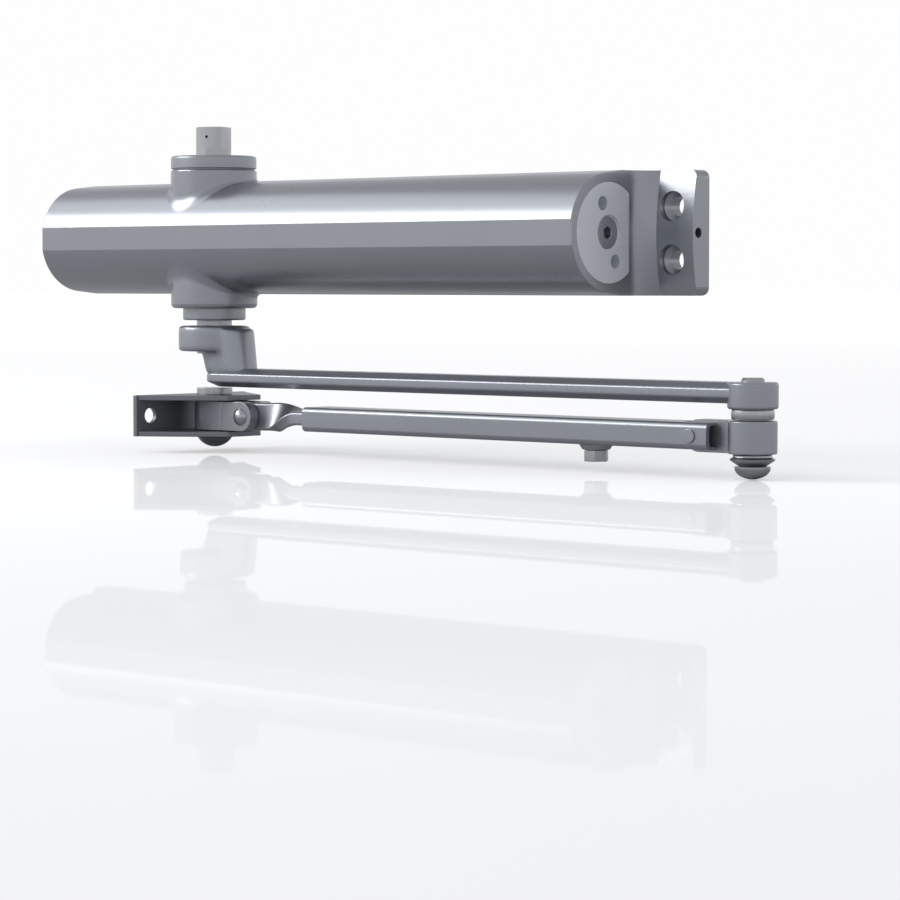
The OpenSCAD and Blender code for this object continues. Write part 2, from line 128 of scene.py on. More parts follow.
class Solid:
    """A closed shape being worked, in millimetres from the spindle axis."""

    def __init__(self) -> None:
        """Starts with nothing but the layer that marks rubbed edges."""
        self.bm = bmesh.new()
        self.bm.faces.layers.float.new(RUB)

    @classmethod
    def turned(
        cls, profile: Sequence[Point], axis: Axis = Axis.Z, at: Place = (0, 0, 0), steps: int = 96
    ) -> "Solid":
        """Turns a profile about an axis, as on a lathe.

        Args:
            profile: (radius, height) pairs; it closes on itself unless it starts at radius 0.
            axis: Direction of the axis.
            at: Where height 0 on the axis lies.
            steps: Faces round the axis.

        Returns:
            The turned solid.
        """
        solid = cls()
        bm = solid.bm
        verts = [bm.verts.new((radius, 0.0, height)) for radius, height in profile]
        edges = [bm.edges.new(pair) for pair in zip(verts, verts[1:])]
        if profile[0][0] > 0:
            edges.append(bm.edges.new((verts[-1], verts[0])))
        bmesh.ops.spin(
            bm, geom=verts + edges, cent=(0, 0, 0), axis=(0, 0, 1), angle=math.tau,
            steps=steps, use_merge=True,
        )
        bmesh.ops.remove_doubles(bm, verts=bm.verts, dist=1e-4)
        return solid.placed(axis, at)

    @classmethod
    def rod(
        cls, radius: float, low: float, high: float, axis: Axis = Axis.Z,
        at: Place = (0, 0, 0), steps: int = 72,
    ) -> "Solid":
        """A plain round bar from low to high along an axis."""
        return cls.turned([(0, low), (radius, low), (radius, high), (0, high)], axis, at, steps)

    @classmethod
    def extruded(
        cls, outline: Sequence[Point], heights: Sequence[float], axis: Axis = Axis.Z,
        at: Place = (0, 0, 0), twist: Optional[Callable[[float], float]] = None,
    ) -> "Solid":
        """Draws an outline out through a row of heights.

        Args:
            outline: Points of the section, anticlockwise.
            heights: Where the layers lie along the axis.
            axis: Direction of drawing.
            at: Where the section's origin lies.
            twist: Turn of the section, in degrees, at a height.

        Returns:
            The drawn solid.
        """
        solid = cls()
        bm = solid.bm
        face = bm.faces.new([bm.verts.new((x, y, heights[0])) for x, y in outline])
        turned_by = twist(heights[0]) if twist else 0.0
        bmesh.ops.rotate(
            bm, verts=face.verts, cent=(0, 0, 0),
            matrix=Matrix.Rotation(math.radians(turned_by), 3, "Z"),
        )
        bottom, top = face, face
        for low, high in zip(heights, heights[1:]):
            grown = bmesh.ops.extrude_face_region(bm, geom=[top], use_keep_orig=True)
            if top is not bottom:
                bmesh.ops.delete(bm, geom=[top], context="FACES_ONLY")
            verts = [g for g in grown["geom"] if isinstance(g, bmesh.types.BMVert)]
            bmesh.ops.translate(bm, verts=verts, vec=(0, 0, high - low))
            if twist:
                step = math.radians(twist(high) - twist(low))
                bmesh.ops.rotate(
                    bm, verts=verts, cent=(0, 0, 0), matrix=Matrix.Rotation(step, 3, "Z")
                )
            top = next(g for g in grown["geom"] if isinstance(g, bmesh.types.BMFace))
        return solid.placed(axis, at)

    @classmethod
    def box(cls, low: Place, high: Place) -> "Solid":
        """A block between two corners.

        Args:
            low: Its lowest corner.
            high: Its highest corner.

        Returns:
            The block.
        """
        solid = cls()
        bmesh.ops.create_cube(solid.bm, size=1.0)
        size = Vector(high) - Vector(low)
        bmesh.ops.scale(solid.bm, vec=size, verts=solid.bm.verts)
        bmesh.ops.translate(solid.bm, vec=Vector(low) + size / 2, verts=solid.bm.verts)
        return solid

    @classmethod
    def hull(cls, discs: Iterable[tuple[float, float, float]]) -> "Solid":
        """The hull of level discs.

        Args:
            discs: (x, z, radius) of each disc, all on the arm's centre line.

        Returns:
            The hull.
        """
        solid = cls()
        for x, z, radius in discs:
            bmesh.ops.create_circle(
                solid.bm, segments=48, radius=radius, matrix=Matrix.Translation((x, 0, z))
            )
        made = bmesh.ops.convex_hull(solid.bm, input=solid.bm.verts)
        spare = [g for g in made["geom_interior"] if isinstance(g, bmesh.types.BMVert)]
        bmesh.ops.delete(solid.bm, geom=spare, context="VERTS")
        bmesh.ops.dissolve_limit(
            solid.bm, angle_limit=math.radians(1), verts=solid.bm.verts, edges=solid.bm.edges
        )
        return solid.righted()

    @classmethod
    def copied(cls, node: str) -> "Solid":
        """A merged copy of a frame node's own mesh.

        Args:
            node: Name of the frame node.

        Returns:
            The copy, in millimetres from the spindle axis.
        """
        solid = cls()
        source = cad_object(node)
        solid.bm.from_mesh(source.data)
        bmesh.ops.translate(solid.bm, vec=-SPINDLE, verts=solid.bm.verts)
        bmesh.ops.scale(solid.bm, vec=(1 / MM, 1 / MM, 1 / MM), verts=solid.bm.verts)
        bmesh.ops.remove_doubles(solid.bm, verts=solid.bm.verts, dist=2e-3)
        bmesh.ops.dissolve_limit(
            solid.bm, angle_limit=math.radians(0.6), verts=solid.bm.verts, edges=solid.bm.edges
        )
        return solid

    def righted(self) -> "Solid":
        """Points every face outwards."""
        bmesh.ops.recalc_face_normals(self.bm, faces=self.bm.faces)
        return self

    def placed(self, axis: Axis, at: Place) -> "Solid":
        """Lays the shape along an axis and moves it to its place."""
        matrix = Matrix.Translation(at) @ axis.value.to_4x4()
        bmesh.ops.transform(self.bm, matrix=matrix, verts=self.bm.verts)
        return self.righted()

    def softened(
        self, width: float, segments: int = 2, above: float = 30.0,
        where: Optional[Callable[[Vector], bool]] = None,
    ) -> "Solid":
        """Rounds the sharp edges and marks the rounding as rubbed.

        Args:
            width: Width of the rounding.
            segments: Its faces.
            above: Smallest angle, in degrees, that counts as sharp.
            where: Keeps an edge by its middle point.

        Returns:
            This solid.
        """
        limit = math.radians(above)
        edges = []
        for edge in self.bm.edges:
            middle = (edge.verts[0].co + edge.verts[1].co) / 2
            if len(edge.link_faces) == 2 and edge.calc_face_angle(0.0) > limit:
                if where is None or where(middle):
                    edges.append(edge)
        made = bmesh.ops.bevel(
            self.bm, geom=edges, offset=width, offset_type="OFFSET", segments=segments,
            profile=0.5, affect="EDGES", clamp_overlap=True, material=-1,
        )
        layer = self.bm.faces.layers.float[RUB]
        for face in made["faces"]:
            face[layer] = 1.0
        return self

    def ordered(self) -> "Solid":
        """Puts the points, edges and faces in a fixed order.

        A join's result depends on that order, so this keeps one run like the next.

        Returns:
            This solid.
        """
        for parts in (self.bm.verts, self.bm.edges, self.bm.faces):
            places = {}
            for part in parts:
                points = list(part.verts) if hasattr(part, "verts") else [part]
                middle = sum((point.co for point in points), Vector()) / len(points)
                places[part] = tuple(round(c, 4) for c in middle)
            for index, part in enumerate(sorted(parts, key=places.get)):
                part.index = index
            parts.sort()
        return self

    def as_object(self, name: str) -> bpy.types.Object:
        """A plain object that holds this shape as it stands.

        Args:
            name: Name of the object.

        Returns:
            The object, linked to the scene.
        """
        self.ordered()
        mesh = bpy.data.meshes.new(name)
        self.bm.to_mesh(mesh)
        obj = bpy.data.objects.new(name, mesh)
        bpy.context.scene.collection.objects.link(obj)
        return obj

    def taken_from(self, obj: bpy.types.Object, *spare: bpy.types.Object) -> "Solid":
        """Reads an object's finished mesh back and removes it and its helpers.

        Args:
            obj: The object to read.
            spare: Its helpers.

        Returns:
            This solid, with the object's mesh.
        """
        bpy.context.view_layer.update()
        graph = bpy.context.evaluated_depsgraph_get()
        mesh = bpy.data.meshes.new_from_object(obj.evaluated_get(graph))
        self.bm.free()
        self.bm = bmesh.new()
        self.bm.from_mesh(mesh)
        if RUB not in self.bm.faces.layers.float:
            self.bm.faces.layers.float.new(RUB)
        for item in (obj, *spare):
            bpy.data.objects.remove(item)
        bmesh.ops.remove_doubles(self.bm, verts=self.bm.verts, dist=1e-3)
        return self

    def joined(self, how: Join, *others: "Solid") -> "Solid":
        """Cuts other solids out of this one, or adds them to it.

        Args:
            how: Cut or add.
            others: The other solids.

        Returns:
            This solid.
        """
        base = self.as_object("base")
        tools = [other.as_object("tool") for other in others]
        for tool in tools:
            step = base.modifiers.new("Join", "BOOLEAN")
            step.operation, step.solver, step.object = how.value, "EXACT", tool
        return self.taken_from(base, *tools)

    def blended(self, voxel: float, rounds: int) -> "Solid":
        """Melts sharp inner corners, as a casting or a forging has them.

        Args:
            voxel: Mesh size of the blend.
            rounds: How many times it is smoothed.

        Returns:
            This solid.
        """
        base = self.as_object("base")
        step = base.modifiers.new("Melt", "REMESH")
        step.mode, step.voxel_size, step.use_smooth_shade = "VOXEL", voxel, True
        self.taken_from(base)
        for _ in range(rounds):
            bmesh.ops.smooth_vert(
                self.bm, verts=self.bm.verts, factor=0.5,
                use_axis_x=True, use_axis_y=True, use_axis_z=True,
            )
        return self


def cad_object(node: str) -> bpy.types.Object:
    """The frame's object for a node."""
    return FRAME["nodes"][node]


@dataclass(frozen=True)
class Finish:
    """A surface's colour and how it is dressed.

    Attributes:
        name: Material name.
        slot: Material slot of the record; not used.
        colour: Linear base colour.
        rubbed: Linear colour where an edge is rubbed.
        metallic: How metallic it is.
        roughness: How dull it is.
        grain: Bumps per metre of the fine texture.
        depth: Height of the bumps, in metres.
        mottle: How far the colour wanders.
        stretch: Scale of the texture along each axis, for turned and brushed metal.
        coat: Weight of a clear coat.
    """

    name: str
    slot: str
    colour: tuple[float, float, float]
    rubbed: tuple[float, float, float]
    metallic: float = 0.8
    roughness: float = 0.35
    grain: float = 2600.0
    depth: float = 0.00001
    mottle: float = 0.06
    stretch: tuple[float, float, float] = (1.0, 1.0, 1.0)
    coat: float = 0.0

    def material(self) -> bpy.types.Material:
        """The finish as a material, made at its first use."""
        made = bpy.data.materials.get(self.name)
        if made:
            return made
        made = bpy.data.materials.new(self.name)
        made.use_nodes = True
        nodes, links = made.node_tree.nodes, made.node_tree.links
        shader = nodes["Principled BSDF"]
        shader.inputs["Metallic"].default_value = self.metallic
        shader.inputs["Coat Weight"].default_value = self.coat
        shader.inputs["Coat Roughness"].default_value = 0.18
        dressed = nodes.new("ShaderNodeGroup")
        dressed.node_tree = surface_group()
        values = {
            "Colour": (*self.colour, 1.0), "Rubbed Colour": (*self.rubbed, 1.0),
            "Roughness": self.roughness, "Grain": self.grain, "Mottle": self.mottle,
            "Stretch": self.stretch,
        }
        for key, value in values.items():
            dressed.inputs[key].default_value = value
        bump = nodes.new("ShaderNodeBump")
        bump.inputs["Strength"].default_value = 1.0
        bump.inputs["Distance"].default_value = self.depth
        links.new(dressed.outputs["Colour"], shader.inputs["Base Color"])
        links.new(dressed.outputs["Roughness"], shader.inputs["Roughness"])
        links.new(dressed.outputs["Height"], bump.inputs["Height"])
        links.new(bump.outputs["Normal"], shader.inputs["Normal"])
        made.diffuse_color = (*self.colour, 1.0)
        return made


def surface_group() -> bpy.types.NodeTree:
    """The shared group of grain, mottling and rubbed edges, built once.

    Returns:
        A node tree with outputs Colour, Roughness and Height.
    """
    found = bpy.data.node_groups.get("WorkedSurface")
    if found:
        return found
    tree = bpy.data.node_groups.new("WorkedSurface", "ShaderNodeTree")
    sockets = (
        ("Colour", "NodeSocketColor"), ("Rubbed Colour", "NodeSocketColor"),
        ("Roughness", "NodeSocketFloat"), ("Grain", "NodeSocketFloat"),
        ("Mottle", "NodeSocketFloat"), ("Stretch", "NodeSocketVector"),
    )
    for name, kind in sockets:
        tree.interface.new_socket(name, in_out="INPUT", socket_type=kind)
    for name, kind in (("Colour", "NodeSocketColor"), ("Roughness", "NodeSocketFloat"),
                       ("Height", "NodeSocketFloat")):
        tree.interface.new_socket(name, in_out="OUTPUT", socket_type=kind)
    nodes, links = tree.nodes, tree.links
    given, result = nodes.new("NodeGroupInput"), nodes.new("NodeGroupOutput")
    place = nodes.new("ShaderNodeTexCoord")

    def math_node(kind: str, first: object, second: object) -> bpy.types.NodeSocket:
        """A Math node on two sockets or numbers.

        Args:
            kind: What it works out.
            first: Its first socket or number.
            second: Its second socket or number.

        Returns:
            The node's output.
        """
        node = nodes.new("ShaderNodeMath")
        node.operation = kind
        for socket, value in zip(node.inputs, (first, second)):
            if isinstance(value, bpy.types.NodeSocket):
                links.new(value, socket)
            else:
                socket.default_value = value
        return node.outputs[0]

    def noise(scale: object, detail: float, vector: bpy.types.NodeSocket) -> bpy.types.NodeSocket:
        """A Noise node.

        Args:
            scale: Socket or number of its scale.
            detail: Layers of detail.
            vector: Where it reads its place from.

        Returns:
            The noise's value.
        """
        node = nodes.new("ShaderNodeTexNoise")
        node.inputs["Detail"].default_value = detail
        links.new(vector, node.inputs["Vector"])
        if isinstance(scale, bpy.types.NodeSocket):
            links.new(scale, node.inputs["Scale"])
        else:
            node.inputs["Scale"].default_value = scale
        return node.outputs["Fac"]

    stretched = nodes.new("ShaderNodeVectorMath")
    stretched.operation = "MULTIPLY"
    links.new(place.outputs["Object"], stretched.inputs[0])
    links.new(given.outputs["Stretch"], stretched.inputs[1])
    fine = noise(given.outputs["Grain"], 3.0, stretched.outputs[0])
    broad = noise(45.0, 4.0, place.outputs["Object"])
    patchy = noise(700.0, 5.0, place.outputs["Object"])
    # colour wanders a little, at a broad and at a fine scale
    wander = math_node("ADD", math_node("SUBTRACT", broad, 0.5), math_node(
        "MULTIPLY", math_node("SUBTRACT", fine, 0.5), 0.8))
    level = math_node("ADD", math_node("MULTIPLY", wander, given.outputs["Mottle"]), 1.0)
    tint = nodes.new("ShaderNodeVectorMath")
    tint.operation = "SCALE"
    links.new(given.outputs["Colour"], tint.inputs[0])
    links.new(level, tint.inputs["Scale"])
    # a rounded edge shows its rubbed colour in patches
    edge = nodes.new("ShaderNodeAttribute")
    edge.attribute_name = RUB
    worn = nodes.new("ShaderNodeMapRange")
    worn.inputs["From Min"].default_value, worn.inputs["From Max"].default_value = 0.45, 0.8
    worn.inputs["To Max"].default_value = 0.6
    links.new(patchy, worn.inputs["Value"])
    amount = math_node("MULTIPLY", edge.outputs["Fac"], worn.outputs[0])
    mixed = nodes.new("ShaderNodeMix")
    mixed.data_type = "RGBA"
    links.new(amount, mixed.inputs["Factor"])
    links.new(tint.outputs[0], mixed.inputs[6])
    links.new(given.outputs["Rubbed Colour"], mixed.inputs[7])
    links.new(mixed.outputs[2], result.inputs["Colour"])
    dull = math_node("ADD", given.outputs["Roughness"], math_node("MULTIPLY", wander, 0.1))
    links.new(math_node("SUBTRACT", dull, math_node("MULTIPLY", amount, 0.08)),
              result.inputs["Roughness"])
    links.new(fine, result.inputs["Height"])
    return tree


CAST_PAINT = Finish("CastPaint", "cast_body", (0.31, 0.325, 0.352), (0.42, 0.44, 0.47),
                    metallic=0.8, roughness=0.3, depth=0.000008, mottle=0.05)
ARM_PAINT = Finish("ArmPaint", "arm_steel", (0.332, 0.348, 0.382), (0.36, 0.375, 0.4),
                   metallic=0.75, roughness=0.33, grain=1900.0, depth=0.00002, mottle=0.1)
TURNED_ALLOY = Finish("TurnedAlloy", "cap_metal", (0.33, 0.345, 0.372), (0.46, 0.475, 0.5),
                      metallic=0.85, roughness=0.34, grain=420.0, stretch=(0.2, 0.2, 9.0),
                      depth=0.000008)
# Cap metal on the plug faces, painted lighter and less metallic than the turned caps: a painted
# reflection that stands in for the bright sky the plug face would mirror.
FACED_ALLOY_PAINTED_REFLECTION = Finish("FacedAlloyPaintedReflection", "cap_metal", (0.66, 0.682, 0.735), (0.52, 0.535, 0.56),
                     metallic=0.3, roughness=0.42, grain=1500.0, depth=0.000008)
ZINC = Finish("ZincPlate", "plated_steel", (0.41, 0.422, 0.448), (0.5, 0.51, 0.54),
              metallic=0.95, roughness=0.3, grain=500.0, stretch=(0.3, 0.3, 7.0), depth=0.000008)
PRESSED = Finish("PressedPaint", "bracket_steel", (0.2, 0.21, 0.232), (0.34, 0.35, 0.38),
                 metallic=0.7, roughness=0.4, grain=1700.0, depth=0.00002, mottle=0.1)
BRONZE = Finish("OiledBronze", "bearing_bronze", (0.45, 0.3, 0.13), (0.6, 0.44, 0.22),
                metallic=1.0, roughness=0.4, grain=3000.0)
SPRING = Finish("TemperedSpring", "spring_steel", (0.05, 0.052, 0.06), (0.15, 0.15, 0.16),
                metallic=0.9, roughness=0.35, grain=900.0)
IRON = Finish("OiledIron", "piston_iron", (0.16, 0.16, 0.165), (0.35, 0.35, 0.36),
              metallic=0.95, roughness=0.3, grain=1200.0)
RUBBER = Finish("Nitrile", "seal_rubber", (0.012, 0.012, 0.013), (0.03, 0.03, 0.03),
                metallic=0.0, roughness=0.55, grain=2500.0)
HIDDEN = {
    "plug_seals": RUBBER, "spindle_seals": RUBBER, "main_spring": SPRING, "top_bearing": BRONZE,
    "bottom_bearing": BRONZE, "elbow_bush": BRONZE, "spring_seat": IRON, "piston": IRON,
    "piston_rings": RUBBER, "check_ball": ZINC, "ball_retainer": ZINC, "screw_clip": SPRING,
}


@dataclass(frozen=True)
class Piece:
    """A finished solid that takes the place of a frame node.

    Attributes:
        name: Name of the piece.
        node: The frame node that it stands for.
        body: The body that it rides on.
        finish: Its surface.
        sharp: Angle, in degrees, above which its shading breaks.
    """

    name: str
    node: str
    body: str
    finish: Finish
    sharp: float = 32.0

    def made_of(self, solid: Solid) -> bpy.types.Object:
        """Places a solid in the scene as this piece.

        Args:
            solid: The shape, in millimetres from the spindle axis.

        Returns:
            The piece's object.
        """
        bmesh.ops.scale(solid.bm, vec=(MM, MM, MM), verts=solid.bm.verts)
        bmesh.ops.translate(solid.bm, vec=SPINDLE, verts=solid.bm.verts)
        obj = solid.as_object(self.name)
        solid.bm.free()
        mesh = obj.data
        mesh.polygons.foreach_set("use_smooth", [True] * len(mesh.polygons))
        mesh.set_sharp_from_angle(angle=math.radians(self.sharp))
        mesh.materials.append(self.finish.material())
        shade = obj.modifiers.new("Even", "WEIGHTED_NORMAL")
        shade.keep_sharp = True
        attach(obj, self.body)
        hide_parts(self.node)
        LOG.info("%s: %d faces on %s", self.name, len(mesh.polygons), self.body)
        return obj


@dataclass
class Casting:
    """The closer's body: round front, flat back, two lugs and two spindle bosses."""

    round_r: float = 21.4
    flat: float = 20.9
    half_h: float = 22.4
    back: float = 28.0
    left: float = -80.5
    right: float = 202.7
    lug_left: float = -97.5
    lug_right: float = 225.8
    lug_t: float = 9.6
    lug_edge: float = 7.0
    corner_r: float = 3.0
    hollow_r: float = 11.1
    hollow_depth: float = 10.2
    hollow_end: float = 113.3
    wide: float = 0.3
    full: float = 1.3
    hole_x: Point = (-88.8, 216.0)
    hole_z: float = 9.525

    def section(self) -> list[Point]:
        """Outline of the barrel in Y and Z."""
        start = math.degrees(math.acos(self.flat / self.round_r))
        top = arc((0, 0), self.round_r, 96, 180 - start, 40)
        low = [(y, -z) for y, z in reversed(top)]
        ends = [(self.back, self.half_h), (8.0, self.half_h)]
        return ends + top + low + [(y, -z) for y, z in reversed(ends)]

    def barrel(self) -> Solid:
        """The bar between the two end planes."""
        bar = Solid.extruded(self.section(), (self.left, self.right), Axis.X)
        ends = (self.left, self.right)
        return bar.softened(
            0.5, 3, 40, lambda p: min(abs(p.x - e) for e in ends) < 0.1 and p.y < 20.0)

    def lug(self) -> Solid:
        """The right lug, crowned across its height, with its hollow corner to the end plane."""
        front = self.back - self.lug_edge
        start = front - self.hollow_depth
        hollow = arc((self.right + self.hollow_r, start), self.hollow_r, 180, self.hollow_end, 12)
        outline = [(self.right - 6, self.back), (self.right - 6, start)] + hollow
        outline += [(self.lug_right, front), (self.lug_right, self.back)]
        return self.crowned(outline, start, self.lug_right)

    def plain_lug(self) -> Solid:
        """The left lug, which has no hollow corner."""
        front = self.back - self.lug_edge
        outline = [(self.lug_left, self.back), (self.lug_left, front),
                   (self.left + 6, front), (self.left + 6, self.back)]
        return self.crowned(outline, front - 1.0, self.lug_left)

    def crowned(self, outline: list[Point], start: float, tip: float) -> Solid:
        """Draws a lug's outline over its height, crowned in front and round at its corners.

        Args:
            outline: Its section in X and Y.
            start: Depth at which the crown begins.
            tip: X of its outer end.

        Returns:
            The lug.
        """
        inner, top = self.half_h - self.corner_r - 0.2, self.half_h - CLEAR
        rows = [-top] + [-inner + 2 * inner * n / 15 for n in range(16)] + [top]
        plate = Solid.extruded([(x, min(y, self.back - CLEAR)) for x, y in outline], rows)
        front = self.back - self.lug_edge
        for vert in plate.bm.verts:
            if start < vert.co.y < self.back - 2 * CLEAR:
                share = (vert.co.y - start) / (front - start)
                height = 1 - (vert.co.z / self.half_h) ** 2
                vert.co.y -= (self.lug_t - self.lug_edge) * height * share

        def at_corner(p: Vector) -> bool:
            """Whether an edge is one of the lug's two outer corners."""
            return abs(p.x - tip) < 0.1 and abs(abs(p.z) - top) < 0.1

        plate.softened(self.corner_r, 6, 60, at_corner)
        bmesh.ops.triangulate(plate.bm, faces=plate.bm.faces)
        x = min(self.hole_x, key=lambda place: abs(place - tip))
        return plate.joined(Join.CUT, *(self.screw_hole(x, s * self.hole_z) for s in (-1, 1)))

    def screw_hole(self, x: float, z: float) -> Solid:
        """The tool that cuts a stepped mounting hole."""
        profile = [(0, 4.0), (3.5, 4.0), (3.5, -5.0), (5.4, -6.5), (5.4, -20.0), (0, -20.0)]
        return Solid.turned(profile, Axis.Y, (x, self.back, z), 48)

    def flare(self, radius: float, side: int, size: float) -> Solid:
        """The cast ring that runs a boss into the barrel.

        Args:
            radius: The boss's radius.
            side: 1 for the top boss and -1 for the bottom one.
            size: Radius of the hollow corner.

        Returns:
            A thin ring that follows the barrel.
        """
        sunk = 0.8
        hollow = arc((radius + size, size), size, 180, 270, 8)
        profile = hollow + [(radius + size, -sunk), (radius - sunk, -sunk), (radius - sunk, size)]
        ring = Solid.turned(profile, steps=144)
        for vert in ring.bm.verts:
            # the blend grows fuller where the barrel falls away in front of the boss
            flat = Vector((vert.co.x, vert.co.y))
            share = min(max(-flat.y / radius, 0.0), 1.0) ** 2
            out = flat.length - radius
            if out > 0:
                flat *= (radius + out * (1 + self.wide * share)) / flat.length
            if vert.co.z > 0:
                vert.co.z *= 1 + self.full * share
            vert.co.x, vert.co.y = flat
            if flat.y < 0:
                vert.co.z += math.sqrt(self.round_r**2 - min(-flat.y, self.flat) ** 2)
            else:
                vert.co.z += self.round_r + min(flat.y, 8.0) / 8.0 * (self.half_h - self.round_r)
        if side < 0:
            bmesh.ops.scale(ring.bm, vec=(1, 1, -1), verts=ring.bm.verts)
        return ring.righted()

    def build(self) -> None:
        """Builds the casting and places it."""
        body = self.barrel()
        top = Solid.rod(17.1, 0.0, 26.7, steps=144).softened(0.5, 3, 40, lambda p: p.z > 20)
        low = Solid.rod(17.2, -28.0, 0.0, steps=144).softened(1.8, 4, 40, lambda p: p.z < -20)
        body.joined(Join.ADD, self.lug(), self.plain_lug(), top, low)
        bore = [(0, self.left - 1), (18.15, self.left - 1), (18.15, self.left + 12),
                (17.0, self.left + 12), (17.0, self.right - 12), (18.15, self.right - 12),
                (18.15, self.right + 0.02), (0, self.right + 0.02)]
        well = [(0, -29.0), (12.05, -29.0), (12.05, -22.0), (10.05, -22.0), (10.05, 22.0),
                (13.45, 22.0), (13.45, 28.0), (0, 28.0)]
        tools = [Solid.turned(bore, Axis.X), Solid.turned(well)]
        for low, high in ((self.lug_right - 8, self.lug_right + 1),
                          (self.lug_left - 1, self.lug_left + 8)):
            tools.append(Solid.rod(1.85, low, high, Axis.X, (0, 21.6, 0), 24))
        body.joined(Join.CUT, *tools)
        for side, radius, size in ((1, 17.1, 1.5), (-1, 17.2, 1.7)):
            ring = self.flare(radius, side, size)
            spare = bpy.data.meshes.new("ring")
            ring.bm.to_mesh(spare)
            body.bm.from_mesh(spare)
        Piece("casting_shell", "casting", "closer_body", CAST_PAINT, 9.0).made_of(body)


@dataclass
class SpindleCaps:
    """The cap over the top boss and the ring under the bottom one."""

    def build(self) -> None:
        """Builds both turned pieces."""
        top = Solid.turned([(7.05, 22.0), (13.4, 22.0), (13.4, 26.7), (16.3, 26.7), (16.3, 27.4),
                            (17.0, 27.4), (17.0, 32.4), (9.0, 32.4), (8.4, 31.8), (7.05, 31.8)],
                           steps=128)
        top.softened(1.1, 4, 40, lambda p: p.z > 32 and p.xy.length > 16)
        top.softened(0.25, 2, 40, lambda p: p.xy.length > 15)
        Piece("top_cap_turned", "top_cap", "closer_body", TURNED_ALLOY).made_of(top)
        ring = Solid.turned([(7.05, -32.7), (12.5, -32.7), (12.5, -28.0), (12.0, -28.0),
                             (12.0, -22.0), (7.05, -22.0)], steps=112)
        ring.softened(0.8, 3, 40, lambda p: p.z < -32 and p.xy.length > 11)
        Piece("bottom_cap_turned", "bottom_cap", "closer_body", TURNED_ALLOY).made_of(ring)


@dataclass
class MainArm:
    """The forged arm: hub, slanted neck, long bar and elbow eye."""

    hub_r: float = 14.3
    hub_top: float = -34.9
    hub_low: float = -45.1
    bar_z: float = -55.4
    length: float = 266.0
    half_w: float = 8.0

    def bar(self) -> Solid:
        """The long bar, a little narrower at the elbow."""
        section = [(-1, -1.6), (-0.4, -3.7), (0.4, -3.7), (1, -1.6),
                   (1, 1.6), (0.4, 3.7), (-0.4, 3.7), (-1, 1.6)]
        outline = [(y * self.half_w, z) for y, z in section]
        bar = Solid.extruded(outline, (7.0, self.length - 2), Axis.X, (0, 0, self.bar_z))
        for vert in bar.bm.verts:
            vert.co.y *= 1 - 0.0625 * (vert.co.x - 7.0) / (self.length - 9.0)
        return bar.softened(0.6, 3, 20, lambda p: 7.5 < p.x < self.length - 2.5)

    def build(self) -> None:
        """Builds the arm and places it."""
        arm = Solid.rod(self.hub_r, self.hub_low, self.hub_top, steps=96)
        neck = Solid.hull([(2, -36, 8.5), (10.4, -36, 8.5), (6.4, -54, 7.6), (13.9, -54, 7.6)])
        arm.joined(Join.ADD, neck).blended(0.45, 30)
        half = 3.7 - CLEAR
        toe = Solid.turned([(0, -half), (3.2, -half), (7.9, -1.6), (7.9, 1.6), (3.2, half),
                            (0, half)], Axis.Z, (7.0, 0, self.bar_z), 64).softened(0.6, 3, 20)
        eye = Solid.rod(8.8, -60.8, -51.6, at=(self.length, 0, 0), steps=96).softened(0.9, 4)
        arm.joined(Join.ADD, self.bar(), toe, eye)
        socket = Solid.extruded(rounded_box(11.7, 11.7, 1.6), (-46.5, -34.0))
        bmesh.ops.rotate(socket.bm, cent=(0, 0, 0), verts=socket.bm.verts,
                         matrix=Matrix.Rotation(math.radians(17.5), 3, "Z"))
        screw = Solid.rod(2.5, -16.0, -1.0, Axis.X, (0, 0, -40.0), 32)
        pin = Solid.rod(4.0, -62.0, -50.0, at=(self.length, 0, 0), steps=48)
        arm.joined(Join.CUT, socket, screw, pin)
        Piece("main_arm_forged", "main_arm", "spindle_unit", ARM_PAINT).made_of(arm)


